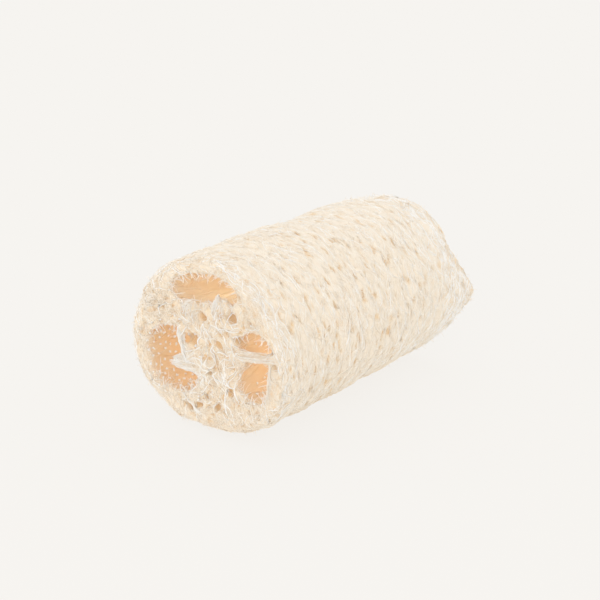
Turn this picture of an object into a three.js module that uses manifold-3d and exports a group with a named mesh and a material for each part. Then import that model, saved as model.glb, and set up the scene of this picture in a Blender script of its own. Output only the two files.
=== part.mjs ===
// A natural loofah sponge: a length cut from the dried fibre skeleton of a luffa gourd, lying on its side.
// It grew as one piece, so it is one solid: a thick wall of matted fibre, three seed chambers that run right
// through it, and the core and partitions between them. Strands stand out of the wall as a net, run
// lengthwise as ribs along the chambers, and lie tangled across the two cut ends.
//
// Millimetres. +X runs along the sponge from the near cut to the far one, and +Z is up. A cross-section is
// drawn as seen from the near cut: h is across to the right (-Y), v is up from the axis, and an angle
// is counted from h towards v.
import * as THREE from "three";
import { mergeVertices } from "three/addons/utils/BufferGeometryUtils.js";
import Module from "manifold-3d";

// Overall form
const LENGTH = 124; // near cut to far cut, without the tongues
const RADIUS = 40.2;
const SQUASH = 1.3; // it is this much wider and this much lower than round, each way from the axis
const FAR_SHRINK = 1; // how much smaller the far cut's radius is
const FAR_SAG = { angle: 1.9, depth: 2.6, halfAngle: 0.7 }; // how far the far cut's top has sunk
const NEAR_TUCK = { angle: -1.5, depth: 4, halfAngle: 0.55, along: 0.2 }; // and the near one's bottom risen
const LOBES = { count: 3, rise: 0.4, turn: -0.5 }; // the wall swells a little over each chamber
const DENT = { at: 0.58, angle: 1.9, depth: 1.6, along: 0.09, halfAngle: 0.8 }; // a shallow dip on top
const TONGUES = [
  { angle: -0.16, reach: 14, halfAngle: 0.36 }, // where the far cut runs out further
  { angle: 1.05, reach: 4.5, halfAngle: 0.45 },
];
const RIM = { reach: 5, drop: 1.2, edge: 1.3 }; // rounding of the two cut edges
const PRESSED_FLAT = 2.4; // what its own weight takes off the underside

// Outer net
const STRANDS = 32; // counted along the sponge
const COLUMNS = 48; // facets round it
const CELLS = 12; // net openings along one turn of a strand
const STRAND_RISE = 1.6; // from a pit's floor to the strand beside it
const SWING = { least: 0.26, spread: 0.2, unevenness: 1.1 }; // sideways swing, in shares of the spacing
const DRIFT = [3.2, 1.6]; // slow slant of all the strands, once and twice round

// Cut ends
const FACE_RINGS = [
  { share: 0, columns: 1 }, // shares of the edge's radius, and how many columns each ring keeps
  { share: 0.2, columns: 8 },
  { share: 0.42, columns: 16 },
  { share: 0.64, columns: 24 },
  { share: 0.84, columns: 48 },
  { share: 1, columns: 48 },
];
const FACE_DISH = 2; // how far the middle of a cut lies below its edge
const FACE_RELIEF = { rise: 0.9, spacing: 11 }; // the lumps of matted fibre on a cut
const TANGLE = { count: 22, radius: 1.2, least: 10, spread: 9, lift: 1.1, sunk: 1.2, bend: 3 };
const TANGLE_STEPS = 2;
const TANGLE_TRIES = 40; // places tried for each strand
const SPIKES = { count: 7, radius: 1.1, length: 6.5, sunk: 2.6, fan: 2.4, depth: 2.2 };

// Seed chambers: centre and half sizes of each outline, its tilt, and the ridge that stands into it
// from the core, where the seeds hung
const CHAMBERS = [
  { name: "top", h: -1.5, v: 25, width: 17.5, height: 7, tilt: 0.11, ridge: 0.24 },
  { name: "left", h: -17.5, v: -8, width: 11, height: 13.8, tilt: 0.2, ridge: 0.4 },
  { name: "right", h: 24.5, v: -2, width: 9.6, height: 14.4, tilt: 0, ridge: 0.45 },
];
const CHAMBER = { points: 24, squareness: 2.6, rib: 0.5, swell: 0.1, steps: 3, past: 20 };
const RIDGE_HALF_ANGLE = 0.34;
const LEAST_WALL = 6; // fibre between a chamber and the outside
const PORES = [
  { h: -7.5, v: 4, radius: 2.6 }, // two small pits in the near cut's core
  { h: 13, v: 18.5, radius: 2.4 },
];
const PORE_DEPTH = 9;

const FIBRE_COLOUR = 0xf0e1cd;
const SEED = 4127;
const TURN = Math.PI * 2;
const MERGE_TOLERANCE = 1e-4;

const wasm = await Module();
wasm.setup();

// Seeded random numbers from 0 to 1 (a 32-bit linear congruential generator)
let randomState = SEED;
function random() {
  randomState = (Math.imul(randomState, 1664525) + 1013904223) >>> 0;
  return randomState / 2 ** 32;
}

// The angle from one direction to another, from -pi to pi
function angleBetween(a, b) {
  return Math.atan2(Math.sin(a - b), Math.cos(a - b));
}

// A smooth bump: 1 at its centre, falling to nothing within about two half widths
function bump(distance, halfWidth) {
  return Math.exp(-((distance / halfWidth) ** 2));
}

// A closed three.js geometry as a solid
function solidOf(geometry) {
  const bare = new THREE.BufferGeometry();
  bare.setAttribute("position", geometry.getAttribute("position"));
  bare.setIndex(geometry.getIndex());
  const merged = mergeVertices(bare, MERGE_TOLERANCE);
  const corners = merged.getIndex().array;
  const triangles = [];
  for (let i = 0; i < corners.length; i += 3) {
    const [a, b, c] = [corners[i], corners[i + 1], corners[i + 2]];
    if (a !== b && b !== c && c !== a) triangles.push(a, b, c);
  }
  return new wasm.Manifold(
    new wasm.Mesh({
      numProp: 3,
      vertProperties: new Float32Array(merged.getAttribute("position").array),
      triVerts: Uint32Array.from(triangles),
    }),
  );
}

// A solid as a three.js geometry
function geometryOf(solid) {
  const mesh = solid.getMesh();
  const geometry = new THREE.BufferGeometry();
  geometry.setAttribute("position", new THREE.BufferAttribute(mesh.vertProperties, 3));
  geometry.setIndex(new THREE.BufferAttribute(mesh.triVerts, 1));
  return geometry;
}

// A point of a cross-section as a point in space
function place(x, h, v) {
  return new THREE.Vector3(x, -h, v);
}

// Where the two cuts lie along X in a given direction round the axis
function cutAt(angle, isFar) {
  const ragged = 0.5 * Math.sin(5 * angle + (isFar ? 1.3 : 0.2)) + 0.4 * Math.sin(3 * angle + 2.1);
  if (!isFar) return ragged;
  const reachOf = (tongue) => tongue.reach * bump(angleBetween(angle, tongue.angle), tongue.halfAngle);
  return LENGTH + ragged + TONGUES.reduce((sum, tongue) => sum + reachOf(tongue), 0);
}

// Radius of the wall's outside at a share of the length, before the net is raised on it
function wallRadius(share, angle) {
  const toEnd = Math.min(share, 1 - share) * LENGTH;
  const rounding = RIM.drop * Math.max(0, 1 - toEnd / RIM.reach) ** 2;
  const lobes = LOBES.rise * Math.cos(LOBES.count * (angle - LOBES.turn));
  const round = ({ angle: at, depth, halfAngle }) => depth * bump(angleBetween(angle, at), halfAngle);
  const dent = round(DENT) * bump(share - DENT.at, DENT.along);
  const sag = round(FAR_SAG) * share ** 3;
  const tuck = round(NEAR_TUCK) * bump(share, NEAR_TUCK.along);
  return RADIUS + SQUASH * Math.cos(2 * angle) - FAR_SHRINK * share + lobes - dent - sag - tuck - rounding;
}

// Place of every strand at every column, in strand spacings: neighbours swing opposite ways, a little out
// of step, so they meet and part and leave openings of many sizes between them
function strandPlaces() {
  return Array.from({ length: STRANDS }, (_, strand) => {
    const side = strand % 2 ? -1 : 1;
    return Array.from({ length: COLUMNS }, (_, column) => {
      const angle = (TURN * column) / COLUMNS;
      const wave = Math.cos(CELLS * angle + SWING.unevenness * Math.sin(2 * angle + 2.4 * strand));
      return strand + 0.5 + side * wave * (SWING.least + SWING.spread * random());
    });
  });
}

// Slow slant of the net, which dies out at the cuts
function drift(share, angle) {
  const slant = DRIFT[0] * Math.sin(angle + 0.6) + DRIFT[1] * Math.sin(2 * angle + 1.9);
  return slant * Math.sin(Math.PI * share);
}

// One point of the net: a place in strand spacings, sunk below the wall's outside by a depth
function netPoint(places, angle, sunk) {
  const share = places / STRANDS;
  const near = cutAt(angle, false);
  const x = near + (cutAt(angle, true) - near) * share + drift(share, angle);
  const radius = wallRadius(share, angle) - sunk;
  return place(x, radius * Math.cos(angle), radius * Math.sin(angle));
}

// A point on a cut, or a lift above it: the cut is dished and lumpy, and its edge follows the ragged rim
function onCut(isFar, h, v, lift) {
  const angle = Math.atan2(v, h);
  const share = Math.min(1, Math.hypot(h, v) / (RADIUS - RIM.drop - RIM.edge));
  const pace = TURN / FACE_RELIEF.spacing;
  const lumps = Math.sin(pace * h + 1.7 * Math.sin(pace * 0.6 * v)) * Math.cos(pace * v + (isFar ? 2 : 0.4));
  const inward = FACE_DISH * (1 - share ** 2) - FACE_RELIEF.rise * lumps - lift;
  const rim = cutAt(angle, isFar) - (isFar ? LENGTH : 0);
  return place((isFar ? LENGTH - inward : inward) + rim * share ** 2, h, v);
}

// One point of a cut face: the inner rings share a point between neighbouring columns
function facePoint(isFar, ring, column) {
  const angle = (-TURN * Math.floor((column * ring.columns) / COLUMNS)) / ring.columns;
  const radius = ring.share * (wallRadius(isFar ? 1 : 0, angle) - RIM.edge);
  return onCut(isFar, radius * Math.cos(angle), radius * Math.sin(angle), 0);
}

// The wall as one closed lathe, its rows moved onto the strands and the pits between them
function wall() {
  const strands = strandPlaces();
  const rows = [];
  for (const ring of FACE_RINGS) rows.push((angle, column) => facePoint(false, ring, column));
  for (let strand = 0; strand < STRANDS; strand++) {
    rows.push((angle, column) => netPoint(strands[strand][column], angle, 0));
    if (strand === STRANDS - 1) break;
    rows.push((angle, column) => {
      const here = strands[strand][column];
      const next = strands[strand + 1][column];
      const openness = Math.min(1, Math.max(0, next - here - 0.3) / 0.7);
      return netPoint((here + next) / 2, angle, STRAND_RISE * openness);
    });
  }
  for (const ring of FACE_RINGS.toReversed()) rows.push((angle, column) => facePoint(true, ring, column));

  const last = rows.length - 1;
  const outline = rows.map((_, row) => new THREE.Vector2(row === 0 || row === last ? 0 : RADIUS, row));
  const lathe = new THREE.LatheGeometry(outline, COLUMNS);
  const position = lathe.getAttribute("position");
  rows.forEach((pointOf, row) => {
    for (let column = 0; column < COLUMNS; column++) {
      const point = pointOf((-TURN * column) / COLUMNS, column);
      const copies = column === 0 ? [0, COLUMNS] : [column]; // the lathe's seam holds its points twice
      for (const copy of copies) position.setXYZ(copy * rows.length + row, ...point);
    }
  });
  return solidOf(lathe);
}

// A chamber's outline about its own centre: a squarish oval with lengthwise ribs, dented by the seed ridge
function chamberPoint(chamber, index) {
  const angle = (TURN * index) / CHAMBER.points;
  const power = 2 / CHAMBER.squareness;
  const oval = (half, wave) => half * Math.sign(wave) * Math.abs(wave) ** power;
  const flat = new THREE.Vector2(
    oval(chamber.width, Math.cos(angle)),
    oval(chamber.height, Math.sin(angle)),
  ).rotateAround(new THREE.Vector2(), chamber.tilt);
  const towardsCore = Math.atan2(-chamber.v, -chamber.h);
  const ridge = chamber.ridge * bump(angleBetween(flat.angle(), towardsCore), RIDGE_HALF_ANGLE);
  const rib = CHAMBER.rib * (index % 2 ? 1 : -1);
  return flat.setLength(flat.length() * (1 - ridge) + rib);
}

function chamberOutline(chamber) {
  return Array.from({ length: CHAMBER.points }, (_, index) => chamberPoint(chamber, index));
}

// The space of one chamber, a little wider half way along, running out past both cuts
function chamberSpace(chamber) {
  const shape = new THREE.Shape(chamberOutline(chamber));
  const depth = LENGTH + 2 * CHAMBER.past;
  const space = new THREE.ExtrudeGeometry(shape, { depth, steps: CHAMBER.steps, bevelEnabled: false });
  const position = space.getAttribute("position");
  for (let i = 0; i < position.count; i++) {
    const swell = 1 + CHAMBER.swell * Math.sin((Math.PI * position.getZ(i)) / depth);
    const point = new THREE.Vector2(position.getX(i), position.getY(i)).multiplyScalar(swell);
    point.add(new THREE.Vector2(chamber.h, chamber.v)).clampLength(0, RADIUS - LEAST_WALL);
    position.setXYZ(i, ...place(LENGTH + CHAMBER.past - position.getZ(i), point.x, point.y));
  }
  return solidOf(space);
}

// Whether a point of a cross-section lies in a chamber, or within a margin of one
function inChamber(h, v, margin) {
  return CHAMBERS.some((chamber) => {
    const offset = new THREE.Vector2(h - chamber.h, v - chamber.v);
    offset.rotateAround(new THREE.Vector2(), -chamber.tilt);
    const across = Math.abs(offset.x) / (chamber.width + margin);
    const up = Math.abs(offset.y) / (chamber.height + margin);
    return across ** CHAMBER.squareness + up ** CHAMBER.squareness < 1;
  });
}

// Whether a strand can lie on a cut at a point: on the fibre between the chambers, inside the rim
function onFibre(h, v, isFar) {
  const rim = wallRadius(isFar ? 1 : 0, Math.atan2(v, h)) - RIM.edge - TANGLE.radius;
  return !inChamber(h, v, 0.6) && Math.hypot(h, v) < rim;
}

// A three-sided strand along a curve
function strandAlong(curve) {
  const corners = [0, 1, 2].map((corner) => {
    const angle = (TURN * corner) / 3;
    return new THREE.Vector2(TANGLE.radius * Math.cos(angle), TANGLE.radius * Math.sin(angle));
  });
  const options = { steps: TANGLE_STEPS, extrudePath: curve, bevelEnabled: false };
  return solidOf(new THREE.ExtrudeGeometry(new THREE.Shape(corners), options));
}

// Strands lying across one cut, each on the fibre between the chambers, with its ends sunk into it
function tangle(isFar) {
  const strands = [];
  for (let turn = 0; strands.length < TANGLE.count && turn < TANGLE.count * TANGLE_TRIES; turn++) {
    const radius = RADIUS * Math.sqrt(random());
    const angle = TURN * random();
    const heading = angle + Math.PI / 2 + (random() - 0.5) * Math.PI * (1.2 - radius / RADIUS);
    const half = (TANGLE.least + TANGLE.spread * random()) / 2;
    const bend = TANGLE.bend * (random() - 0.5);
    const points = [-1, 0, 1].map((step) => [
      radius * Math.cos(angle) + step * half * Math.cos(heading) + (step ? 0 : bend * Math.sin(heading)),
      radius * Math.sin(angle) + step * half * Math.sin(heading) - (step ? 0 : bend * Math.cos(heading)),
    ]);
    if (!points.every(([h, v]) => onFibre(h, v, isFar))) continue;
    const lifts = [-TANGLE.sunk, TANGLE.lift, -TANGLE.sunk];
    const path = points.map(([h, v], i) => onCut(isFar, h, v, lifts[i]));
    strands.push(strandAlong(new THREE.CatmullRomCurve3(path)));
  }
  return strands;
}

// A small pit that narrows into the near cut
function pore({ h, v, radius }) {
  const cone = new THREE.ConeGeometry(radius * 1.5, PORE_DEPTH * 1.5, 7);
  cone.rotateZ(-Math.PI / 2);
  const mouth = onCut(false, h, v, 0);
  cone.translate(mouth.x + PORE_DEPTH / 4, mouth.y, mouth.z);
  return solidOf(cone);
}

// Torn fibres that point from the core's edge into a chamber's mouth
function spikes(chamber, isFar) {
  const towardsCore = Math.atan2(-chamber.v, -chamber.h);
  return Array.from({ length: SPIKES.count }, (_, index) => {
    const wanted = towardsCore + SPIKES.fan * (index / (SPIKES.count - 1) - 0.5);
    const turnTo = (point) => Math.abs(angleBetween(point.angle(), wanted));
    const nearer = (best, point) => (turnTo(point) < turnTo(best) ? point : best);
    const edge = chamberOutline(chamber).reduce(nearer);
    const inward = edge.clone().normalize().negate();
    const length = SPIKES.length * (0.7 + 0.5 * random());
    const middle = edge.clone().addScaledVector(inward, length / 2 - SPIKES.sunk);
    const cone = new THREE.ConeGeometry(SPIKES.radius, length, 3);
    const direction = place(0, inward.x, inward.y);
    const base = onCut(isFar, chamber.h + middle.x, chamber.v + middle.y, 0);
    base.x += (isFar ? -1 : 1) * SPIKES.depth;
    cone.applyQuaternion(new THREE.Quaternion().setFromUnitVectors(new THREE.Vector3(0, 1, 0), direction));
    cone.translate(base.x, base.y, base.z);
    return solidOf(cone);
  });
}

// Everything below the surface that the sponge is pressed flat on
function belowFloor() {
  const size = 4 * LENGTH;
  const box = new THREE.BoxGeometry(size, size, size);
  box.translate(0, 0, -RADIUS + SQUASH + PRESSED_FLAT - size / 2);
  return solidOf(box);
}

function sponge() {
  let solid = wall();
  for (const space of [...CHAMBERS.map(chamberSpace), ...PORES.map(pore)]) solid = solid.subtract(space);
  for (const isFar of [false, true]) {
    const fibres = [...tangle(isFar), ...CHAMBERS.flatMap((chamber) => spikes(chamber, isFar))];
    for (const fibre of fibres) solid = solid.add(fibre);
  }
  solid = solid.subtract(belowFloor());
  const pieces = solid.decompose();
  return pieces.reduce((largest, piece) => (piece.volume() > largest.volume() ? piece : largest));
}

// The mesh, moved so that the middle of its underside is the origin
function spongeMesh() {
  const geometry = geometryOf(sponge());
  geometry.computeBoundingBox();
  const { min, max } = geometry.boundingBox;
  geometry.translate(-(min.x + max.x) / 2, -(min.y + max.y) / 2, -min.z);
  geometry.computeVertexNormals();
  const fibre = new THREE.MeshStandardMaterial({ color: FIBRE_COLOUR, roughness: 0.85, metalness: 0 });
  const mesh = new THREE.Mesh(geometry, fibre);
  mesh.name = "loofah_sponge";
  return mesh;
}

const loofah = new THREE.Group();
loofah.add(spongeMesh());

export default loofah;
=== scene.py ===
# A natural loofah sponge: a felt of matted plant fibre, dressed with the single fibres that lie on it.
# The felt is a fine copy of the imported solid. Most fibres are thin tubes that are walked over the felt's
# surface, so that they follow the wall, bend over the rims and run along the seed chambers. The rest stand
# free as loose ends.
import math
import random

import bmesh
import bpy
import numpy as np
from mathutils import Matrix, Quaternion, Vector, noise
from mathutils.bvhtree import BVHTree


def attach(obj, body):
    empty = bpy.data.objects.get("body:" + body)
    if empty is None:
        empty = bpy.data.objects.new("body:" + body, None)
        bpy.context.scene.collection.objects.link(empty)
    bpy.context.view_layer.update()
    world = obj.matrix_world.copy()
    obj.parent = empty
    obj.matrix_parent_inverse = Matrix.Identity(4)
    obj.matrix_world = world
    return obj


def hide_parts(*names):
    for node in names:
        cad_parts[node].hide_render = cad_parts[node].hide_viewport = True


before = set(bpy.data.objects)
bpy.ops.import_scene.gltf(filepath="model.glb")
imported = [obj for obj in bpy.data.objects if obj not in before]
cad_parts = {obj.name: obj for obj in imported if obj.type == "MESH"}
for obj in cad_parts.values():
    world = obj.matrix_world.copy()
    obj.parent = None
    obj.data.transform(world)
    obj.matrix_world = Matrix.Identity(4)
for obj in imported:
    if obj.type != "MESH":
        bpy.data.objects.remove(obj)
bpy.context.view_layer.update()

# The solid's own measures, in millimetres: x from the near cut, h to the right seen from there, v up
MM = 0.001
NEAR_CUT = -68.33  # where the near cut lies along X in the row frame
AXIS_HEIGHT = 36.5
LENGTH = 124.0

# Seed chambers: where each lies, its half width, its half height and its tilt. Then how much more tan than
# the outside it is, as painted warm shade for the light inside it, how much light comes through its wall,
# how much more tan than the cuts its torn partitions are, partly their own colour and partly painted light,
# and the share of its wall that carries tufts
CHAMBERS = (
    {
        "h": -1.5, "v": 25.0, "width": 17.5, "height": 7.0, "tilt": 0.11,
        "tan": 0.22, "seep": 1.27, "torn": -0.1, "knots": 0.0,
    },
    {
        "h": -17.5, "v": -8.0, "width": 11.0, "height": 13.8, "tilt": 0.2,
        "tan": 0.56, "seep": 1.45, "torn": -0.1, "knots": 1.0,
    },
    {
        "h": 24.5, "v": -2.0, "width": 9.6, "height": 14.4, "tilt": 0.0,
        "tan": 0.43, "seep": 1.53, "torn": 0.2, "knots": 0.03,
    },
)
CHAMBER_SQUARENESS = 2.6

# Zones of the felt, and what tells them apart
ON_WALL, ON_CUT, IN_CHAMBER = 0, 1, 2
OUTER_REACH = 33.0  # how far from the axis the outer wall lies at least
OUTWARD = 0.5  # how much the outer wall faces away from the axis at least
CHAMBER_WALL = 4.5  # how far round a chamber its wall reaches at most
CUT_FACING = 0.8  # how much the felt beside a chamber faces along the sponge where it is still a cut
CUT_SKIN = 0.5  # how far in from a cut a chamber's wall starts

# Felt
FELT_CELL = 1.04  # size of its mesh cells
FELT_SMOOTHING = 8  # rounds of smoothing
SMOOTHING_MOVES = (0.5, -0.51)  # how far each round moves a point to its neighbours and back out
FELT_SUNK = 0.5  # how far it lies below the solid's surface, to leave room for the fibres
THINNEST = 0.25  # share of the felt's thickness that each of its sides may sink by
LUMPS = {"scale": 400, "height": 0.25}
SWELLS = {"scale": 75, "height": 0.9}
WALL_PIT = {"along": 1.7, "round": 4.8, "depth": 0.7, "starts": 0.3, "full": 0.5}
CUT_PIT = {"along": 2.3, "round": 2.3, "depth": 0.8, "starts": 0.2, "full": 0.4}
CUT_PITS_END = (28.0, 34.0)  # between which distances from the axis the cuts' gaps die out

# Rims: the near one is drawn in at its upper left, the far one bulges along the sponge, and the left
# chamber widens to the left at its near mouth
RIM_REACH = (24.0, 34.0)  # between which distances from the axis the rims come in
NEAR_RIM = {"drawn": 2.0, "angle": 2.4, "starts": 0.72, "depth": 7.0}
FAR_BULGE = {"reach": 2.4, "angle": 0.6, "spread": 0.4, "depth": 16.0}
FLARE = {
    "reach": 2.8, "depth": 30.0,
    "left": (20.0, 27.0), "outer": (32.0, 36.0), "v": -10.0, "ends": (10.0, 20.0),
}

# Tones, from 0, almost white, to 1, tan
# Painted shade: the felt, and the deep fibres on it, are tanner than the fibres on top, for the warm shade
# of the layers beneath
FELT_TONE = 0.32
# Painted shade: the felt and the fibres are tanner in the small gaps between strands, for the warm shade in
# them
FELT_PIT_PAINTED_SHADE = 0.6
FIBRE_PIT_PAINTED_SHADE = 0.5
# Painted shade: the near cut's holes are painted tan, for the warm shade inside them
HOLE_PAINTED_SHADE = 0.7
CUT_TAN = 0.12
CORE_TAN = 0.14
CORE = (20.0, 30.0)  # between which distances from the axis the core's tan dies out
MOUTH_PAINTED_SHADE = (-1.0, 5.0)  # between which distances from a cut a chamber's painted shade comes in
# Painted shade: the wall is painted tanner close to the ground, for the warm shade where it meets the floor
UNDERSIDE_PAINTED_SHADE = 0.4
UNDERSIDE = (2.0, 15.0)  # between which heights the painted shade close to the ground dies out
FAR_PAINTED_LIGHT = 0.35  # share of the wall's colour that is lost towards the far end: painted light, paler where the light falls whiter
RIM_PALE = 0.1  # how much paler than the rest the wall's fibres are at the rims
RIM_PALE_END = (2.0, 9.0)  # between which distances from a cut they stop being paler

# Holes in the near cut's core and rim: where they lie, how wide and how deep they are
HOLES = (
    {"h": 13.5, "v": 16.5, "radius": 2.7, "depth": 3.25},
    {"h": -2.5, "v": 13.5, "radius": 2.3, "depth": 2.925},
    {"h": -8.0, "v": 2.5, "radius": 3.0, "depth": 2.925},
    {"h": 33.5, "v": 7.5, "radius": 1.6, "depth": 3.25},
    {"h": 35.5, "v": 1.5, "radius": 1.5, "depth": 3.25},
    {"h": 5.5, "v": 3.5, "radius": 2.2, "depth": 2.275},
    {"h": 11.5, "v": -1.0, "radius": 1.4, "depth": 2.6},
    {"h": 15.5, "v": 7.5, "radius": 2.2, "depth": 3.25},
    {"h": 2.0, "v": -9.5, "radius": 1.3, "depth": 2.6},
    {"h": 12.0, "v": -15.5, "radius": 2.2, "depth": 3.25},
    {"h": 4.7, "v": -24.5, "radius": 1.9, "depth": 3.25},
    {"h": -0.5, "v": -20.5, "radius": 1.5, "depth": 3.25},
    {"h": -4.0, "v": -25.0, "radius": 1.6, "depth": 3.25},
    {"h": -9.5, "v": -27.0, "radius": 2.0, "depth": 3.25},
    {"h": 18.0, "v": 27.0, "radius": 1.5, "depth": 2.6},
    {"h": 23.0, "v": 17.0, "radius": 1.4, "depth": 2.6},
)
HOLE_EDGE = (0.55, 1.15)  # between which shares of its radius a hole's side slopes
HOLE_ZONE = 9.0  # how far in from the near cut its holes reach at most
HOLE_FACING = 0.3  # how much the felt faces out of the near cut at least where a hole sinks it
HOLE_LIMIT = 0.5  # how far into a hole a fibre may reach

# Fins: torn partitions that stand into the chambers' mouths. Each has a way over the cut as a root, a bend
# and a tip, its half width and its run into the chamber at the start, half way and at the end, and the tone
# of its strands, near white on the tongues and the arch, partly their own pale colour and partly painted
# light where the front lamp falls on them
FINS = (
    # The left chamber's tongue, and the arch above it
    {
        "way": ((-1.0, -5.5), (-10.0, -8.0), (-17.5, -9.0)),
        "widths": (10.0, 5.2, 2.4), "runs": (16, 8, 3), "tone": 0.06,
    },
    {
        "way": ((-14.5, 8.0), (-13.5, 1.0), (-10.0, -6.0)),
        "widths": (2.4, 0.8, 2.0), "runs": (7, 3, 7), "tone": 0.06,
    },
    # The top chamber's two tongues
    {
        "way": ((7.5, 12.0), (7.5, 19.0), (8.5, 24.5)),
        "widths": (10.0, 6.0, 2.6), "runs": (15, 9, 3), "tone": 0.06,
    },
    {
        "way": ((-12.0, 10.5), (-9.0, 15.0), (-6.0, 19.5)),
        "widths": (6.5, 4.2, 1.6), "runs": (11, 6, 2.5), "tone": 0.06,
    },
    # The web across the right chamber, and the lip at its outer side
    {
        "way": ((12.0, 0.5), (22.0, 2.5), (35.0, 4.5)),
        "widths": (4.0, 2.0, 2.2), "runs": (9, 4.5, 6), "tone": 0.2,
    },
    {
        "way": ((35.2, 9.0), (33.2, -2.0), (32.7, -15.0)),
        "widths": (2.6, 2.6, 2.6), "runs": (16, 16, 16), "tone": 0.24,
    },
    # The tongue below the left chamber
    {
        "way": ((0.0, -29.0), (-5.0, -25.5), (-11.0, -22.0)),
        "widths": (6.0, 2.8, 1.2), "runs": (11, 5.5, 2.5), "tone": 0.06,
    },
)
FIN_RINGS = 18
FIN_SIDES = 14
FIN_FRONT = -0.4  # how far a fin's front stands out of the cut
FIN_ZONE = 9.0  # how far in from a cut the fins carry the cut's own tangle
FIN_CLEAR = 2.0  # how far inside a chamber's outline the fins are told from its wall
FIN_RIPPLE = {"scale": 350, "height": 0.5}

# Fibres that lie on the felt: how many, how many steps each takes, the step, the thickness, the height, and
# the tone with its spread, which inside the chambers is added to their painted shade. The fins' strands
# start and end at shares of a fin's way, at angles round it
# The deep fibres' tanner tone is painted shade of the layer beneath the top fibres
WALL_DEEP = {
    "count": 3400, "steps": (6, 12), "step": 2.2,
    "radius": (0.15, 0.25), "lift": (-0.1, 0.08), "tone": (0.27, 0.06),
}
WALL_TOP = {
    "count": 3400, "steps": (6, 12), "step": 2.2,
    "radius": (0.14, 0.25), "lift": (-0.06, 0.22), "tone": (0.18, 0.07),
}
RIM = {
    "count": 200, "steps": (8, 14), "step": 1.6,
    "radius": (0.18, 0.28), "lift": (0.05, 0.3), "tone": (0.02, 0.04),
}
TANGLE = {
    "count": 2200, "steps": (6, 12), "step": 1.3,
    "radius": (0.12, 0.22), "lift": (-0.1, 0.45), "tone": (0.26, 0.07),
}
STRANDS = {
    "count": 140, "steps": (8, 14), "step": 1.2,
    "radius": (0.24, 0.34), "lift": (0.2, 0.55), "tone": (0.04, 0.04),
}
INSIDE = {
    "count": 640, "steps": (10, 24), "step": 2.2,
    "radius": (0.13, 0.22), "lift": (-0.1, 0.08), "tone": (0, 0.1),
}
FIN_FIBRES = {
    "count": 42, "steps": 12, "radius": (0.14, 0.24), "lift": (-0.35, 0.2), "tone_spread": 0.06,
    "starts": (0.1, 0.5), "ends": (0.7, 1.15), "angles": (-2.2, 2.2), "sway": 0.08, "tip": 0.6,
}
RIM_WIDTH = 4.0  # how far from a cut the rim's pale strands start at most
CUT_DEPTH = 14.0  # how far in from a cut its own fibres start at most
STRANDS_WITHIN = 26.0  # how far from the axis a cut's pale strands start at most
MOUTH = 42.0  # how far into a chamber from its mouth most of the inner fibres lie
DEEP_SHARE = 0.2  # how densely they lie further in, as a share of that
STRAY = 0.35  # share of the wall's fibres that run any way
SLANT = 0.35  # spread of the angle between the other fibres and their straight way
TAPER = {"tip": 0.45, "slope": 3}
SUNK_ENDS = {"slope": 6, "depth": 2}  # how soon a fibre's ends sink in, and by how many of its radii
WAVE = {"height": 0.16, "turns": (6, 14), "starts": (0, 6)}

# How fibres turn at each step: the spread of their own wandering, how far to the side they look for gaps,
# how strongly they turn away from them and back to their own way, and the slow sway of that way
WALL_STEER = {"wander": 0.25, "look": 1.3, "away": 0.45, "back": 0.16, "sway": 0.9, "sway_scale": 32}
CUT_STEER = {"wander": 0.22, "look": 0.9, "away": 0.5}
CHAMBER_STEER = {"wander": 0.1, "back": 0.12}

# Loose ends: how many, how many steps each takes, the step, the thickness, the bend at each step and the
# tone, and then how each kind leaves the felt
FUZZ = {
    "count": {ON_WALL: 1000, ON_CUT: 500}, "steps": (3, 5), "step": 0.8,
    "radius": (0.07, 0.11), "bend": 0.25, "tone": 0.2, "rise": (0.2, 0.3), "start": 0.3, "hole_limit": 0.2,
}
FRAY = {
    "count": 1200, "steps": (3, 5), "step": 0.7,
    "radius": (0.12, 0.2), "bend": 0.22, "tone": 0.24, "outward": 0.5, "sideways": 0.7, "up": 0.15,
}
FRINGE = {
    "count": 900, "steps": (4, 8), "step": 0.85,
    "radius": (0.12, 0.24), "bend": 0.2, "tone": 0.1, "lean": 0.35, "spread": 0.4,
}
# Painted highlight: the tufts' near-white tone stands for fibres that catch the light
KNOTS = {
    "count": 1000, "steps": 3, "step": 0.45,
    "radius": (0.45, 0.6), "bend": 0.2, "tone": 0.02, "lean": (0.2, 1.0),
    "strands": 4, "apart": 2.5, "depth": 22.0,
}
FRAY_ZONE = {"reach": 31.0, "depth": 5.0, "facing": (0.25, 0.9)}  # where the rims' cut ends grow
FRINGE_ZONE = {"inner": 0.8, "margin": 3.0, "near": 3.5, "far": 6.0}  # where the mouths' torn ends grow
UNEVEN_STEPS = (0.6, 1.3)  # share of its step that a loose end takes, at least and at most
LOOSE_TIP = 0.4  # share of its thickness that a loose end keeps at its tip

SEED = 4127
rng = random.Random(SEED)
draw = np.random.default_rng(SEED)
noise.seed_set(SEED)


# Measures

def smooth_step(value, low, high):
    """0 up to the low value, 1 from the high one on, and smooth between them."""
    t = np.clip((value - low) / (high - low), 0, 1)
    return t * t * (3 - 2 * t)


def sections_of(places):
    """Points of the row frame, in metres, as their x, h and v."""
    return places[:, 0] / MM - NEAR_CUT, -places[:, 1] / MM, places[:, 2] / MM - AXIS_HEIGHT


def in_row(x, h, v):
    """Places of the row frame, in metres, from their x, h and v."""
    return np.stack([(x + NEAR_CUT) * MM, -h * MM, (v + AXIS_HEIGHT) * MM], axis=-1)


def from_cuts(x):
    """How far points lie from the nearer cut."""
    return np.minimum(x, LENGTH - x)


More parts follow.
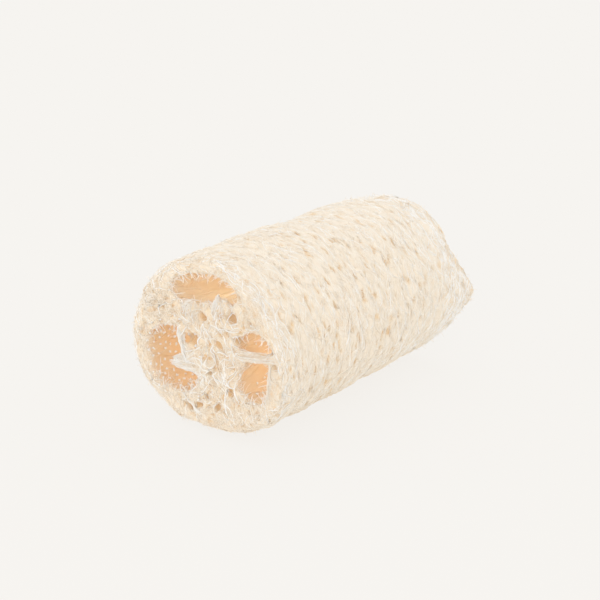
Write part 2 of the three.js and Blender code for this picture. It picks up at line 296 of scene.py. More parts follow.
def chamber_shares(h, v, margin):
    """For each seed chamber, widened by the margin, below 1 where points of a cross-section lie in it."""
    shares = []
    for c in CHAMBERS:
        dh, dv = h - c["h"], v - c["v"]
        across = dh * math.cos(c["tilt"]) + dv * math.sin(c["tilt"])
        up = dv * math.cos(c["tilt"]) - dh * math.sin(c["tilt"])
        share = (np.abs(across) / (c["width"] + margin)) ** CHAMBER_SQUARENESS
        shares.append(share + (np.abs(up) / (c["height"] + margin)) ** CHAMBER_SQUARENESS)
    return np.array(shares)


def chamber_share(h, v, margin):
    """Below 1 where points of a cross-section lie in any seed chamber widened by the margin."""
    return chamber_shares(h, v, margin).min(axis=0)


def of_chamber(name, h, v):
    """A value of the chamber beside points of a cross-section."""
    return np.array([chamber[name] for chamber in CHAMBERS])[chamber_shares(h, v, 0.0).argmin(axis=0)]


def on_fin(x, h, v):
    """True for points on the torn partitions, which stand into the chambers' mouths."""
    return (chamber_share(h, v, -FIN_CLEAR) < 1) & (from_cuts(x) < FIN_ZONE)


def zones_of(places, normals):
    """Whether points lie on the outer wall, on a cut or in a chamber."""
    x, h, v = sections_of(places)
    inside = (chamber_share(h, v, CHAMBER_WALL) < 1) & (np.abs(normals[:, 0]) < CUT_FACING)
    inside &= (x > CUT_SKIN) & (x < LENGTH - CUT_SKIN) & ~on_fin(x, h, v)
    reach = np.hypot(h, v)
    radial = (-normals[:, 1] * h + normals[:, 2] * v) / np.maximum(1, reach)
    outer = (reach > OUTER_REACH) & (radial > OUTWARD)
    return np.where(outer, ON_WALL, np.where(inside, IN_CHAMBER, ON_CUT))


def chamber_painted_shade(x, h, v):
    """Painted shade: how much more tan than the outside the chamber beside points is, from its mouth
    inwards, for the warm light inside it.
    """
    return of_chamber("tan", h, v) * smooth_step(from_cuts(x), *MOUTH_PAINTED_SHADE)


def torn_tone_and_painted_light(x, h, v):
    """Partly own colour, partly painted light: how much more tan than the cuts the torn partitions are,
    paler where the front lamp falls on them and tanner on the right chamber's web, where light shines
    through it.
    """
    return of_chamber("torn", h, v) * on_fin(x, h, v)


def underside_painted_shade(places):
    """Painted shade: how much more tan than the rest the fibre is close to the ground, for the warm shade
    where the sponge meets the floor.
    """
    return UNDERSIDE_PAINTED_SHADE * (1 - smooth_step(places[:, 2] / MM, *UNDERSIDE))


def far_painted_light(x):
    """Painted light: how much of the wall's colour is left, from all of it at the near end to less at the
    far one, which looks paler as if lit more.
    """
    return 1 - FAR_PAINTED_LIGHT * smooth_step(x, LENGTH / 2, LENGTH)


def pit_at(point, pit):
    """How far a point lies in one of the small gaps between strands, from 0 to 1."""
    spot = Vector((point[0] / pit["along"], point[1] / pit["round"], point[2] / pit["round"])) / MM
    return float(smooth_step(noise.noise(spot), pit["starts"], pit["full"]))


def pits_at(points, pit):
    """How far points lie in one of the small gaps between strands."""
    return np.array([pit_at(point, pit) for point in points])


def noise_at(points, scale):
    """Smooth noise from about -1 to 1 at points, finer with a larger scale."""
    return np.array([noise.noise(Vector(point) * scale) for point in points])


def hole_at(x, h, v):
    """How deep, in millimetres, and how far, from 0 to 1, points lie in one of the near cut's holes."""
    deep, share = np.zeros(len(x)), np.zeros(len(x))
    for hole in HOLES:
        off = np.hypot(h - hole["h"], v - hole["v"]) / hole["radius"]
        inside = 1 - smooth_step(off, *HOLE_EDGE)
        deep = np.maximum(deep, inside * hole["depth"])
        share = np.maximum(share, inside)
    near = x < HOLE_ZONE
    return deep * near, share * near


def over_hole(points, limit):
    """True where any of the points lies further into a hole than the limit."""
    return hole_at(*sections_of(points))[1].max() > limit


def through(values, share):
    """The smooth curve that takes three values at the start, half way and at the end."""
    first, middle, last = values
    bend = 2 * (first + last - 2 * middle)
    return first + share * (last - first - bend) + share * share * bend


# Fins

def fin_surface(fin, front, towards, share, angle):
    """Points and normals of a fin at shares of its way and angles round it, from its front at angle 0."""
    root, bend, tip = (np.array(corner) for corner in fin["way"])
    s = share[:, None]
    middle = (1 - s) ** 2 * root + 2 * s * (1 - s) * bend + s**2 * tip
    along = (1 - s) * (bend - root) + s * (tip - bend)
    along /= np.linalg.norm(along, axis=1)[:, None]
    across = np.stack([-along[:, 1], along[:, 0]], axis=1)
    width, run = through(fin["widths"], share), through(fin["runs"], share)
    h, v = (middle + across * (width * np.sin(angle))[:, None]).T
    x = front + towards * (FIN_FRONT + run * (1 - np.cos(angle)) / 2)
    out_x = -towards * np.cos(angle) / run * 2
    out_h, out_v = (across * (np.sin(angle) / width)[:, None]).T
    normals = np.stack([out_x, -out_h, out_v], axis=1)
    normals /= np.linalg.norm(normals, axis=1)[:, None]
    points = in_row(x, h, v)
    ripple = noise_at(points, FIN_RIPPLE["scale"]) * FIN_RIPPLE["height"] * MM
    return points + normals * ripple[:, None], normals


def add_fin(bm, fin, front, towards):
    """A closed fin."""
    angles = np.linspace(0, 2 * math.pi, FIN_SIDES, endpoint=False)
    rings = []
    for share in np.linspace(0, 1, FIN_RINGS):
        points, _ = fin_surface(fin, front, towards, np.full(FIN_SIDES, share), angles)
        rings.append([bm.verts.new(point) for point in points])
    faces = [bm.faces.new(rings[0]), bm.faces.new(rings[-1])]
    for ring, following in zip(rings, rings[1:]):
        for j in range(FIN_SIDES):
            k = (j + 1) % FIN_SIDES
            faces.append(bm.faces.new((ring[j], ring[k], following[k], following[j])))
    bmesh.ops.recalc_face_normals(bm, faces=faces)


def placed_fins(solid):
    """Each fin at the near cut and again at the far one, with its front's x and the way it runs along X."""
    surface = BVHTree.FromObject(solid, bpy.context.evaluated_depsgraph_get())
    past_far_cut = LENGTH + 60
    placed = []
    for fin in FINS:
        placed.append((fin, 0.0, 1))
        h, v = fin["way"][0]
        start = Vector(in_row(np.array(past_far_cut), np.array(h), np.array(v)))
        found = surface.ray_cast(start, Vector((-1, 0, 0)))[0]
        placed.append((fin, found.x / MM - NEAR_CUT, -1))
    return placed


# Felt

def smoothed(places, edges, rounds):
    """Vertex places after each has moved half way to the mean of its neighbours and a little further back
    out again, some rounds over, which softens facets and keeps the rims."""
    count = np.bincount(edges.ravel(), minlength=len(places))[:, None]
    for move in SMOOTHING_MOVES * rounds:
        sums = np.stack(
            [
                np.bincount(edges[:, 0], places[edges[:, 1], k], len(places))
                + np.bincount(edges[:, 1], places[edges[:, 0], k], len(places))
                for k in range(3)
            ],
            axis=1,
        )
        places = places + move * (sums / count - places)
    return places


def values_of(collection, name, width, kind=np.float32):
    """One property of all of a mesh's vertices, edges or faces, as rows."""
    values = np.zeros(len(collection) * width, kind)
    collection.foreach_get(name, values)
    return values.reshape(-1, width)


def set_places(mesh, places):
    mesh.vertices.foreach_set("co", places.astype(np.float32).ravel())
    mesh.update()


def set_tone(mesh, tones):
    """Keeps a tone for each vertex, which the material reads."""
    mesh.attributes.new("tone", "FLOAT", "POINT").data.foreach_set("value", np.asarray(tones, np.float32))


def skin_of(places, polygons):
    """A search tree of a mesh's faces."""
    return BVHTree.FromPolygons([tuple(p) for p in places], [tuple(f.vertices) for f in polygons])


def rim_shift(x, h, v):
    """How far points move, in millimetres, where the rims are drawn in, bulge or flare."""
    reach, angle = np.hypot(h, v), np.arctan2(v, h)
    at_rim = smooth_step(reach, *RIM_REACH)
    upper_left = smooth_step(np.cos(angle - NEAR_RIM["angle"]), NEAR_RIM["starts"], 1)
    drawn = NEAR_RIM["drawn"] * upper_left * np.clip(1 - x / NEAR_RIM["depth"], 0, 1) ** 2 * at_rim
    off_bulge = (angle - FAR_BULGE["angle"]) / FAR_BULGE["spread"]
    bulge = FAR_BULGE["reach"] * np.exp(-(off_bulge**2)) * at_rim
    bulge = bulge * smooth_step(x, LENGTH - FAR_BULGE["depth"], LENGTH)
    inner_wall = smooth_step(-h, *FLARE["left"]) * (1 - smooth_step(reach, *FLARE["outer"]))
    at_left = 1 - smooth_step(np.abs(v - FLARE["v"]), *FLARE["ends"])
    flare = FLARE["reach"] * np.clip(1 - x / FLARE["depth"], 0, 1) * inner_wall * at_left
    return np.stack([bulge, drawn * np.cos(angle) + flare, -drawn * np.sin(angle)], axis=1)


def held_back(sunk, places, normals, polygons):
    """How far points sink, in millimetres, less where the felt is thin, so that its sides never meet."""
    skin = skin_of(places, polygons)
    below_skin = 0.05 * MM
    thickness = []
    for place, normal in zip(places, normals):
        way = -Vector(normal)
        hit = skin.ray_cast(Vector(place) + way * below_skin, way)[3]
        thickness.append(LENGTH if hit is None else hit / MM)
    return np.minimum(sunk, THINNEST * np.array(thickness))


def raw_felt(solid, placed):
    """The solid and its fins remeshed as one skin."""
    bm = bmesh.new()
    bm.from_mesh(solid.data)
    for fin, front, towards in placed:
        add_fin(bm, fin, front, towards)
    joined = bpy.data.meshes.new("loofah_felt")
    bm.to_mesh(joined)
    bm.free()
    body = bpy.data.objects.new("loofah_felt", joined)
    bpy.context.scene.collection.objects.link(body)
    remesh = body.modifiers.new("remesh", "REMESH")
    remesh.mode = "VOXEL"
    remesh.voxel_size = FELT_CELL * MM
    made = bpy.data.meshes.new_from_object(body.evaluated_get(bpy.context.evaluated_depsgraph_get()))
    body.modifiers.clear()
    body.data = made
    return body


def felt(solid, placed):
    """The matted body: a skin of the solid and its fins, softened, pitted, a little sunk, and coloured."""
    body = raw_felt(solid, placed)
    made = body.data
    edges = values_of(made.edges, "vertices", 2, np.int32)
    places = smoothed(values_of(made.vertices, "co", 3).astype(float), edges, FELT_SMOOTHING)
    set_places(made, places)
    normals = values_of(made.vertices, "normal", 3)
    zones = zones_of(places, normals)
    wall_pits = pits_at(places, WALL_PIT) * (zones == ON_WALL)
    cut_pits = pits_at(places, CUT_PIT) * (zones == ON_CUT)
    cut_pits *= 1 - smooth_step(np.hypot(*sections_of(places)[1:]), *CUT_PITS_END)
    lumps = noise_at(places, LUMPS["scale"])
    swells = noise_at(places, SWELLS["scale"]) * (zones == ON_WALL)
    sunk = FELT_SUNK + WALL_PIT["depth"] * wall_pits + CUT_PIT["depth"] * cut_pits
    sunk = sunk - LUMPS["height"] * lumps - SWELLS["height"] * swells
    sunk = held_back(sunk, places, normals, made.polygons)
    places -= normals * (sunk * MM)[:, None]
    x, h, v = sections_of(places)
    hole_depth, hole_share = hole_at(x, h, v)
    faces_near = normals[:, 0] < -HOLE_FACING
    places[:, 0] += hole_depth * faces_near * MM
    places += rim_shift(x, h, v) * MM
    places[:, 2] = np.maximum(places[:, 2], 0)
    set_places(made, places)
    made.shade_smooth()
    cut_tan = CUT_TAN + CORE_TAN * (1 - smooth_step(np.hypot(h, v), *CORE))
    # Painted shade: the felt is tanner in the gaps between strands, on the wall less so towards the far end
    wall_gap_shade = FELT_PIT_PAINTED_SHADE * wall_pits * far_painted_light(x)
    cut_tan_and_gap_shade = (cut_tan + FELT_PIT_PAINTED_SHADE * cut_pits) * (zones == ON_CUT) * ~on_fin(x, h, v)
    # Painted shade: chamber walls are painted tan for the warm light inside them
    tones = FELT_TONE + (wall_gap_shade + cut_tan_and_gap_shade) + chamber_painted_shade(x, h, v) * (zones == IN_CHAMBER)
    # Painted shade: tan painted into the near cut's holes
    # Partly painted light: the torn partitions are paler where the front lamp falls and tanner where light
    # shines through
    tones = tones + torn_tone_and_painted_light(x, h, v) + HOLE_PAINTED_SHADE * hole_share * faces_near
    # Painted shade: the wall's felt is tanner close to the ground
    set_tone(made, tones + underside_painted_shade(places) * (zones == ON_WALL))
    return body


# Ways over the felt

def around(point):
    """The direction round the sponge at a point."""
    return Vector((0, -(point.z / MM - AXIS_HEIGHT), point.y / MM)).normalized()


def walk(surface, point, heading, steps, step, wander, steer):
    """Points over the felt, with the felt's normals, along a path that turns a little at every step."""
    points, normals = [], []
    for _ in range(steps):
        found, normal, _, _ = surface.find_nearest(point)
        heading = (heading - normal * heading.dot(normal)).normalized()
        points.append(found)
        normals.append(normal)
        heading.rotate(Quaternion(normal, rng.gauss(0, wander) + steer(found, normal, heading)))
        point = found + heading * (step * MM)
    return np.array(points), np.array(normals)


def past_pits(found, normal, heading):
    """A turn that leads a fibre round the wall's gaps and back to its way round the sponge."""
    side = normal.cross(heading) * (WALL_STEER["look"] * MM)
    away = pit_at(found - side, WALL_PIT) - pit_at(found + side, WALL_PIT)
    wanted = around(found)
    if wanted.dot(heading) < 0:
        wanted = -wanted
    sway = WALL_STEER["sway"] * noise.noise(found * WALL_STEER["sway_scale"])
    wanted.rotate(Quaternion(normal, sway))
    back = normal.dot(heading.cross(wanted))
    return WALL_STEER["away"] * away + WALL_STEER["back"] * back


def past_cut_pits(found, normal, heading):
    """A turn that leads a fibre round the cut's gaps."""
    side = normal.cross(heading) * (CUT_STEER["look"] * MM)
    return CUT_STEER["away"] * (pit_at(found - side, CUT_PIT) - pit_at(found + side, CUT_PIT))


def along_chamber(found, normal, heading):
    """A turn that keeps a fibre lengthwise."""
    wanted = Vector((1, 0, 0)) if heading.x > 0 else Vector((-1, 0, 0))
    return CHAMBER_STEER["back"] * normal.dot(heading.cross(wanted))


def any_way(start, normal):
    """Any direction along the felt."""
    heading = normal.orthogonal()
    heading.rotate(Quaternion(normal, rng.uniform(0, 2 * math.pi)))
    return heading


def round_the_wall(start, normal):
    """Either way round the sponge, a little slanted, or now and then any way."""
    if rng.random() < STRAY:
        return any_way(start, normal)
    heading = around(start) * rng.choice((-1, 1))
    heading.rotate(Quaternion(normal, rng.gauss(0, SLANT)))
    return heading


def lengthwise(start, normal):
    """Either way along the sponge, a little slanted."""
    heading = Vector((rng.choice((-1, 1)), 0, 0))
    heading.rotate(Quaternion(normal, rng.gauss(0, SLANT)))
    return heading


# Tones of single fibres

def own_tone(points, kind):
    """A tone of its own for each fibre."""
    return np.full(len(points), rng.gauss(*kind["tone"]))


def wall_tone(points, kind):
    """A tone of its own for each of the wall's fibres, paler at the rims, and paler towards the far end as
    painted light.
    """
    x = sections_of(points)[0]
    at_rim = 1 - smooth_step(from_cuts(x), *RIM_PALE_END)
    return rng.gauss(*kind["tone"]) * far_painted_light(x) - RIM_PALE * at_rim


def cut_tone(points, kind):
    """Cream, with the torn partitions' own tone and painted light on them."""
    return rng.gauss(*kind["tone"]) + torn_tone_and_painted_light(*sections_of(points))


def inside_tone(points, kind):
    """The chambers' painted shade, tan, with a difference of its own for each fibre."""
    return FELT_TONE + chamber_painted_shade(*sections_of(points)) + rng.gauss(*kind["tone"])


# Fibres that lie on the felt

def seeds(body, zone, count, chosen=None):
    """Random points of one zone of the felt, spread evenly over its area, with their normals."""
    polygons = body.data.polygons
    centres = values_of(polygons, "center", 3)
    normals = values_of(polygons, "normal", 3)
    weights = values_of(polygons, "area", 1)[:, 0] * (zones_of(centres, normals) == zone)
    if chosen is not None:
        weights = weights * chosen(centres)
    picked = draw.choice(len(centres), count, p=weights / weights.sum())
    return centres[picked], normals[picked]


def lifted(points, normals, kind, radius):
    """A fibre raised off the felt by its own amount, waving a little, with its ends sunk in."""
    along = np.linspace(0, 1, len(points))
    ends = np.minimum(1, np.minimum(along, 1 - along) * SUNK_ENDS["slope"])
    lift = rng.uniform(*kind["lift"])
    wave = np.sin(along * rng.uniform(*WAVE["turns"]) + rng.uniform(*WAVE["starts"]))
    height = lift + WAVE["height"] * wave
    height = height * ends - (1 - ends) * radius * SUNK_ENDS["depth"]
    return points + normals * (height * MM)[:, None]


def fibres(surface, body, zone, kind, heading_of, wander, steer, tone_of, chosen=None):
    """Runs of points, normals, thickness and tone for one kind of fibre."""
    runs = []
    for centre, normal in zip(*seeds(body, zone, kind["count"], chosen)):
        start, normal = Vector(centre), Vector(normal)
        steps = rng.randint(*kind["steps"])
        heading = heading_of(start, normal)
        points, normals = walk(surface, start, heading, steps, kind["step"], wander, steer)
        radius = rng.uniform(*kind["radius"])
        if zone == ON_CUT and over_hole(points, HOLE_LIMIT):
            continue
        from_ends = np.minimum(np.linspace(0, 1, steps), np.linspace(1, 0, steps))
        taper = np.minimum(1, TAPER["tip"] + TAPER["slope"] * from_ends)
        tone = tone_of(points, kind)
        if zone == ON_WALL:
            # Painted shade: the wall's fibres are tanner over the gaps between strands, less so towards the
            # far end
            pits = pits_at(points, WALL_PIT)
            # Painted shade: the wall's fibres are tanner close to the ground
            tone = tone + underside_painted_shade(points) + FIBRE_PIT_PAINTED_SHADE * pits * far_painted_light(sections_of(points)[0])
        # Painted shade: the cut's fibres are tanner over its gaps
        if zone == ON_CUT:
            tone = tone + FIBRE_PIT_PAINTED_SHADE * pits_at(points, CUT_PIT)
        runs.append((lifted(points, normals, kind, radius), normals, radius * taper, tone))
    return runs


def fin_fibres(placed):
    """Strands that run over the fins from root to tip."""
    kind = FIN_FIBRES
    runs = []
    for fin, front, towards in placed:
        for _ in range(kind["count"]):
            share = np.linspace(rng.uniform(*kind["starts"]), rng.uniform(*kind["ends"]), kind["steps"])
            angle = rng.uniform(*kind["angles"]) + np.cumsum(draw.normal(0, kind["sway"], len(share)))
            points, normals = fin_surface(fin, front, towards, share, angle)
            if over_hole(points, HOLE_LIMIT):
                continue
            radius = rng.uniform(*kind["radius"])
            tone = rng.gauss(fin["tone"], kind["tone_spread"])
            taper = np.linspace(1, kind["tip"], len(share))
            points = lifted(points, normals, kind, radius)
            runs.append((points, normals, radius * taper, np.full(len(share), tone)))
    return runs


# Loose ends

def loose_run(kind, point, heading, up, steps):
    """A fibre that stands free, turning a little at every step and thinning to its end."""
    thickness = rng.uniform(*kind["radius"])
    points = []
    for _ in range(steps):
        points.append(point)
        point = point + heading * (kind["step"] * rng.uniform(*UNEVEN_STEPS) * MM)
        heading = (heading + Vector([rng.gauss(0, kind["bend"]) for _ in range(3)])).normalized()
    radius = thickness * np.linspace(1, LOOSE_TIP, steps)
    return np.array(points), np.tile(up, (steps, 1)), radius, np.full(steps, kind["tone"])


def fuzz(body):
    """Loose fine ends that stand off the wall and the cuts."""
    runs = []
    for zone, count in FUZZ["count"].items():
        for centre, normal in zip(*seeds(body, zone, count)):
            if over_hole(centre[None], FUZZ["hole_limit"]):
                continue
            up = Vector(normal)
            heading = (any_way(Vector(centre), up) + up * rng.uniform(*FUZZ["rise"])).normalized()
            steps = rng.randint(*FUZZ["steps"])
            runs.append(loose_run(FUZZ, Vector(centre) + up * (FUZZ["start"] * MM), heading, up, steps))
    return runs


def frayed_rims(body):
    """Cut ends of the wall's fibres, which stand out along the sponge at both rims."""
    centres = values_of(body.data.polygons, "center", 3)
    normals = values_of(body.data.polygons, "normal", 3)
    x, h, v = sections_of(centres)
    facing = np.abs(normals[:, 0])
    least, most = FRAY_ZONE["facing"]
    at_rim = (np.hypot(h, v) > FRAY_ZONE["reach"]) & (facing > least) & (facing < most)
    at_rim &= (x < FRAY_ZONE["depth"]) | (x > LENGTH - FRAY_ZONE["depth"])
    runs = []
    for k in draw.choice(np.flatnonzero(at_rim), FRAY["count"]):
        start, up = Vector(centres[k]), Vector(normals[k])
        outward = Vector((math.copysign(1, normals[k][0]), 0, 0))
        heading = outward * FRAY["outward"] + any_way(start, up) * FRAY["sideways"] + up * FRAY["up"]
        steps = rng.randint(*FRAY["steps"])
        runs.append(loose_run(FRAY, start, heading.normalized(), up, steps))
    return runs


def fringe(body):
    """Torn ends round the mouths of the chambers, which stand into the openings."""
    centres = values_of(body.data.polygons, "center", 3)
    normals = values_of(body.data.polygons, "normal", 3)
    x, h, v = sections_of(centres)
    at_mouth = chamber_share(h, v, 0.0) > FRINGE_ZONE["inner"]
    at_mouth &= chamber_share(h, v, FRINGE_ZONE["margin"]) < 1
    at_mouth &= (x < FRINGE_ZONE["near"]) | (x > LENGTH - FRINGE_ZONE["far"])
    lean, spread = FRINGE["lean"], FRINGE["spread"]
    runs = []
    for k in draw.choice(np.flatnonzero(at_mouth), FRINGE["count"]):
        chamber = min(CHAMBERS, key=lambda c: math.hypot(c["h"] - h[k], c["v"] - v[k]))
        inward = Vector((rng.uniform(-lean, lean), h[k] - chamber["h"], chamber["v"] - v[k])).normalized()
        heading = (inward + Vector([rng.gauss(0, spread) for _ in range(3)])).normalized()
        steps = rng.randint(*FRINGE["steps"])
        runs.append(loose_run(FRINGE, Vector(centres[k]), heading, Vector(normals[k]), steps))
    return runs


def knots(body):
    """Small pale tufts on the chambers' walls, kept apart from each other; their paleness is painted
    highlight.
    """
    centres = values_of(body.data.polygons, "center", 3)
    normals = values_of(body.data.polygons, "normal", 3)
    x, h, v = sections_of(centres)
    inside = (zones_of(centres, normals) == IN_CHAMBER) & (from_cuts(x) < KNOTS["depth"])
    inside &= draw.random(len(x)) < of_chamber("knots", h, v)
    kept, runs = [], []
    for k in draw.permutation(np.flatnonzero(inside)):
        place = centres[k]
        if any(np.linalg.norm(place - other) < KNOTS["apart"] * MM for other in kept):
            continue
        kept.append(place)
        if len(kept) > KNOTS["count"]:
            break
        start, up = Vector(place), Vector(normals[k])
        for _ in range(KNOTS["strands"]):
            heading = (up + any_way(start, up) * rng.uniform(*KNOTS["lean"])).normalized()
            runs.append(loose_run(KNOTS, start, heading, up.orthogonal(), KNOTS["steps"]))
    return runs


# Tubes

def tubes(name, runs):
    """One mesh of closed three-sided tubes along all the runs."""
    corners = np.radians([90, 210, 330])
    rises, spreads = np.sin(corners)[None, :, None], np.cos(corners)[None, :, None]
    no_length = 1e-12
    vertices, tones, quads, caps = [], [], [], []
    first = 0
    for points, normals, radius, tone in runs:
        steps = len(points)
        points[:, 2] = np.maximum(points[:, 2], radius * MM)
        tangents = np.gradient(points, axis=0)
        sides = np.cross(tangents, normals)
        sides /= np.maximum(no_length, np.linalg.norm(sides, axis=1))[:, None]
        ups = np.cross(sides, tangents)
        ups /= np.maximum(no_length, np.linalg.norm(ups, axis=1))[:, None]
        spokes = ups[:, None] * rises + sides[:, None] * spreads
        rings = points[:, None] + (radius * MM)[:, None, None] * spokes
        vertices.append(rings.reshape(-1, 3))
        tones.append(np.repeat(tone, 3))
        ring = first + 3 * np.arange(steps - 1)[:, None]
        for a, b in ((0, 1), (1, 2), (2, 0)):
            quads.append(np.concatenate([ring + a, ring + a + 3, ring + b + 3, ring + b], axis=1))
        last = first + 3 * (steps - 1)
        caps.append([[first, first + 1, first + 2], [last + 2, last + 1, last]])
        first += 3 * steps
    quads, caps = np.concatenate(quads), np.concatenate(caps)
    mesh = bpy.data.meshes.new(name)
    mesh.vertices.add(first)
    mesh.vertices.foreach_set("co", np.concatenate(vertices).astype(np.float32).ravel())
    mesh.loops.add(quads.size + caps.size)
    mesh.loops.foreach_set("vertex_index", np.concatenate([quads.ravel(), caps.ravel()]).astype(np.int32))
    mesh.polygons.add(len(quads) + len(caps))
    starts = np.concatenate([4 * np.arange(len(quads)), quads.size + 3 * np.arange(len(caps))])
    mesh.polygons.foreach_set("loop_start", starts.astype(np.int32))
    mesh.update(calc_edges=True)
    mesh.validate()
    set_tone(mesh, np.concatenate(tones))
    made = bpy.data.objects.new(name, mesh)
    bpy.context.scene.collection.objects.link(made)
    return made


# Materials

# Colours of the tones from 0 to 1
FIBRE_TONES = (
    (0.0, (0.98, 0.955, 0.915)),
    (0.1, (0.95, 0.89, 0.79)),
    (0.2, (0.93, 0.82, 0.67)),
    (0.5, (0.91, 0.75, 0.55)),
    (0.75, (0.87, 0.65, 0.41)),
    (1.0, (0.81, 0.52, 0.26)),
)
SPECKLE = 0.35  # how far the tone varies from speck to speck


def add_tones(material, brightness):
    """The fibre's colour, from its tone and fine specks."""
    nodes, links = material.node_tree.nodes, material.node_tree.links
    tone = nodes.new("ShaderNodeAttribute")
    tone.attribute_name = "tone"
    speckle = nodes.new("ShaderNodeTexNoise")
    speckle.inputs["Scale"].default_value = 420
    speckle.inputs["Detail"].default_value = 3
    links.new(nodes["Texture Coordinate"].outputs["Object"], speckle.inputs["Vector"])
    mixed = nodes.new("ShaderNodeMath")
    mixed.operation = "MULTIPLY_ADD"
    mixed.inputs[1].default_value = SPECKLE
    links.new(speckle.outputs["Fac"], mixed.inputs[0])
    links.new(tone.outputs["Fac"], mixed.inputs[2])
    centred = nodes.new("ShaderNodeMath")
    centred.operation = "SUBTRACT"
    centred.inputs[1].default_value = SPECKLE / 2
    links.new(mixed.outputs[0], centred.inputs[0])
    ramp = nodes.new("ShaderNodeValToRGB")
    elements = ramp.color_ramp.elements
    elements[0].position, elements[1].position = FIBRE_TONES[0][0], FIBRE_TONES[-1][0]
    for position, _ in FIBRE_TONES[1:-1]:
        elements.new(position)
    for element, (_, colour) in zip(elements, FIBRE_TONES):
        element.color = (*(value * brightness for value in colour), 1)
    links.new(centred.outputs[0], ramp.inputs["Fac"])
    links.new(ramp.outputs["Color"], nodes["Principled BSDF"].inputs["Base Color"])


def add_grain(material):
    """A fine dry grain, raised and uneven in its roughness."""
    nodes, links = material.node_tree.nodes, material.node_tree.links
    shader = nodes["Principled BSDF"]
    grain = nodes.new("ShaderNodeTexNoise")
    grain.inputs["Scale"].default_value = 1500
    grain.inputs["Detail"].default_value = 4
    grain.inputs["Distortion"].default_value = 1.5
    links.new(nodes["Texture Coordinate"].outputs["Object"], grain.inputs["Vector"])
    bump = nodes.new("ShaderNodeBump")
    bump.inputs["Strength"].default_value = 0.3
    bump.inputs["Distance"].default_value = 0.25 * MM
    links.new(grain.outputs["Fac"], bump.inputs["Height"])
    links.new(bump.outputs["Normal"], shader.inputs["Normal"])
    rough = nodes.new("ShaderNodeMapRange")
    rough.inputs["To Min"].default_value = 0.72
    rough.inputs["To Max"].default_value = 0.95
    links.new(grain.outputs["Fac"], rough.inputs["Value"])
    links.new(rough.outputs["Result"], shader.inputs["Roughness"])


def add_strands(material):
    """Fine strands round the sponge, raised on top of a material's grain."""
    nodes, links = material.node_tree.nodes, material.node_tree.links
    grain = nodes["Bump"]
    strands = nodes.new("ShaderNodeTexWave")
    strands.bands_direction = "X"
    strands.inputs["Scale"].default_value = 560
    strands.inputs["Distortion"].default_value = 7
    strands.inputs["Detail"].default_value = 2
    strands.inputs["Detail Scale"].default_value = 0.35
    links.new(nodes["Texture Coordinate"].outputs["Object"], strands.inputs["Vector"])
    bump = nodes.new("ShaderNodeBump")
    bump.inputs["Strength"].default_value = 0.5
    bump.inputs["Distance"].default_value = 0.3 * MM
    links.new(strands.outputs["Fac"], bump.inputs["Height"])
    links.new(grain.outputs["Normal"], bump.inputs["Normal"])
    links.new(bump.outputs["Normal"], nodes["Principled BSDF"].inputs["Normal"])


def fibre_material(name, brightness, translucency):
    """Dry plant fibre, a little translucent."""
    material = bpy.data.materials.new(name)
    material.use_nodes = True
    nodes = material.node_tree.nodes
    shader = nodes["Principled BSDF"]
    shader.inputs["Specular IOR Level"].default_value = 0.25
    shader.inputs["Subsurface Weight"].default_value = translucency
    shader.inputs["Subsurface Radius"].default_value = (1.0, 1.0, 1.0)
    shader.inputs["Subsurface Scale"].default_value = 0.4 * MM
    nodes.new("ShaderNodeTexCoord")
    add_tones(material, brightness)
    add_grain(material)
    return material


# Pieces

def at_end(is_far, within=LENGTH):
    """Chooses points of one cut, within a distance of the sponge's axis."""

    def chosen(centres):
        x, h, v = sections_of(centres)
        from_cut = LENGTH - x if is_far else x
        return (from_cut < CUT_DEPTH) & (np.hypot(h, v) < within)

    return chosen


def at_rims(centres):
    """Chooses points close to either cut."""
    return from_cuts(sections_of(centres)[0]) < RIM_WIDTH


def near_mouths(centres):
    """Chooses most points close to the chambers' mouths, and fewer deep inside."""
    return np.where(from_cuts(sections_of(centres)[0]) < MOUTH, 1.0, DEEP_SHARE)


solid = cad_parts["loofah_sponge"]
fins = placed_fins(solid)
body = felt(solid, fins)
surface = skin_of(values_of(body.data.vertices, "co", 3), body.data.polygons)


def wall_fibres(kind, tone_of=wall_tone, chosen=None):
    """Fibres that run round the sponge."""
    way = {"heading_of": round_the_wall, "wander": WALL_STEER["wander"], "steer": past_pits}
    return fibres(surface, body, ON_WALL, kind, tone_of=tone_of, chosen=chosen, **way)


def cut_fibres(is_far):
    """The tangle of one cut, with its paler strands on top."""
    way = {"heading_of": any_way, "wander": CUT_STEER["wander"], "steer": past_cut_pits}
    middle = at_end(is_far, STRANDS_WITHIN)
    tangle = fibres(surface, body, ON_CUT, TANGLE, tone_of=cut_tone, chosen=at_end(is_far), **way)
    return tangle + fibres(surface, body, ON_CUT, STRANDS, tone_of=own_tone, chosen=middle, **way)


def chamber_fibres():
    """Fibres that run along the chambers."""
    way = {"heading_of": lengthwise, "wander": CHAMBER_STEER["wander"], "steer": along_chamber}
    return fibres(surface, body, IN_CHAMBER, INSIDE, tone_of=inside_tone, chosen=near_mouths, **way)


pieces = [
    body,
    tubes("wall_fibres_deep", wall_fibres(WALL_DEEP)),
    tubes("wall_fibres", wall_fibres(WALL_TOP) + wall_fibres(RIM, own_tone, at_rims)),
    tubes("near_cut_fibres", cut_fibres(False)),
    tubes("far_cut_fibres", cut_fibres(True)),
    tubes("chamber_fibres", chamber_fibres()),
    tubes("loose_fibres", fuzz(body) + fringe(body) + knots(body) + frayed_rims(body)),
    tubes("fin_fibres", fin_fibres(fins)),
]
# Painted shade: the felt is a little darker than the fibres, as shade beneath them
felt_look = fibre_material("loofah_felt", brightness=0.94, translucency=0.5)
add_strands(felt_look)
fibre_look = fibre_material("loofah_fibre", brightness=1.0, translucency=0.12)
for piece in pieces:
    piece.data.materials.clear()
    piece.data.materials.append(felt_look if piece is body else fibre_look)
    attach(piece, "root")
    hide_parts("loofah_sponge")


# Floor, light and camera

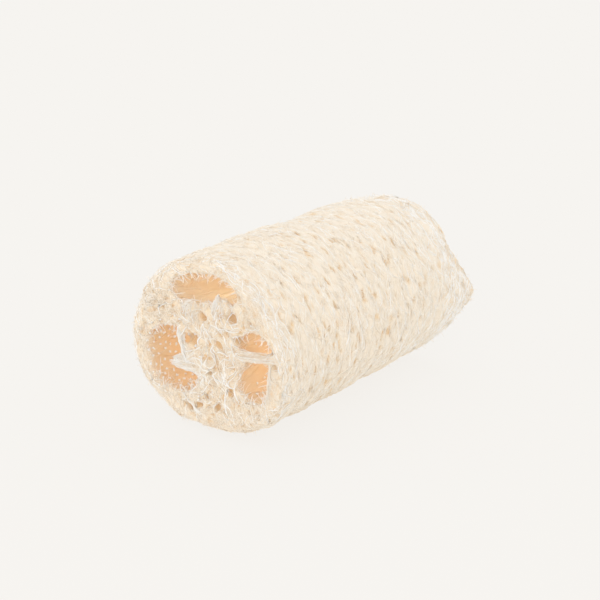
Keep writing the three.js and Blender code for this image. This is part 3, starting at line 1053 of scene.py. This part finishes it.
FLOOR_REACH = 60.0  # metres
GLOW = {"count": 11, "margin": 14.0, "energy": 0.00066, "colour": (1.0, 0.94, 0.68), "radius": 5.0}
AIM = Vector((-0.0131, -0.0054, 0.0435))  # metres
DISTANCE = 0.76  # metres
AZIMUTH, ELEVATION = math.radians(-51.72), math.radians(20.61)


def floor_material():
    """A pale floor with light of its own, as on a light table, so that shadows on it stay faint."""
    material = bpy.data.materials.new("floor")
    material.use_nodes = True
    shader = material.node_tree.nodes["Principled BSDF"]
    shader.inputs["Base Color"].default_value = (0.09, 0.087, 0.084, 1)
    shader.inputs["Roughness"].default_value = 1.0
    shader.inputs["Specular IOR Level"].default_value = 0.0
    shader.inputs["Emission Color"].default_value = (0.791, 0.769, 0.7286, 1)
    shader.inputs["Emission Strength"].default_value = 1.0
    return material


def floor():
    mesh = bpy.data.meshes.new("floor")
    corners = [(FLOOR_REACH * x, FLOOR_REACH * y, 0) for x, y in ((-1, -1), (1, -1), (1, 1), (-1, 1))]
    mesh.from_pydata(corners, [], [(0, 1, 2, 3)])
    plane = bpy.data.objects.new("floor", mesh)
    bpy.context.scene.collection.objects.link(plane)
    mesh.materials.append(floor_material())


def soft_lamp(name, place, size, energy, colour):
    """A large soft lamp that faces the sponge."""
    lamp = bpy.data.lights.new(name, "AREA")
    lamp.size = size
    lamp.energy = energy
    lamp.color = colour
    made = bpy.data.objects.new(name, lamp)
    made.location = place
    towards = Vector((0, 0, AXIS_HEIGHT * MM)) - made.location
    made.rotation_euler = towards.to_track_quat("-Z", "Y").to_euler()
    bpy.context.scene.collection.objects.link(made)


def glow(chamber):
    """Weak warm lamps along a chamber, which stand for the light that comes through its thin wall."""
    for x in np.linspace(GLOW["margin"], LENGTH - GLOW["margin"], GLOW["count"]):
        lamp = bpy.data.lights.new("glow", "POINT")
        lamp.energy = GLOW["energy"] * chamber["seep"]
        lamp.color = GLOW["colour"]
        lamp.shadow_soft_size = GLOW["radius"] * MM
        made = bpy.data.objects.new("glow", lamp)
        made.location = in_row(np.array(x), np.array(chamber["h"]), np.array(chamber["v"]))
        made.visible_camera = False
        bpy.context.scene.collection.objects.link(made)


def light():
    """An even bright surround, with a warm lamp in front and a cool one behind."""
    world = bpy.data.worlds.new("studio")
    bpy.context.scene.world = world
    world.use_nodes = True
    background = world.node_tree.nodes["Background"]
    background.inputs["Color"].default_value = (0.98, 0.98, 0.985, 1)
    background.inputs["Strength"].default_value = 1.07
    soft_lamp("front", (-1.2, -0.6, 0.5), size=0.9, energy=5.2, colour=(1.0, 0.95, 0.87))
    soft_lamp("back", (0.6, 0.5, 1.4), size=1.2, energy=1.5, colour=(0.95, 0.97, 1.0))
    for chamber in CHAMBERS:
        glow(chamber)


def camera():
    """The photo's viewing angle."""
    data = bpy.data.cameras.new("camera")
    data.lens = 108
    data.sensor_width = 36
    eye = bpy.data.objects.new("camera", data)
    level = math.cos(ELEVATION)
    back = Vector((math.sin(AZIMUTH) * level, -math.cos(AZIMUTH) * level, math.sin(ELEVATION)))
    eye.location = AIM + back * DISTANCE
    eye.rotation_euler = (-back).to_track_quat("-Z", "Y").to_euler()
    bpy.context.scene.collection.objects.link(eye)
    bpy.context.scene.camera = eye


floor()
light()
camera()
bpy.context.scene.view_settings.view_transform = "Standard"
bpy.context.scene.view_settings.gamma = 1.4  # the photo is bright and soft
bpy.context.scene.cycles.diffuse_bounces = 12
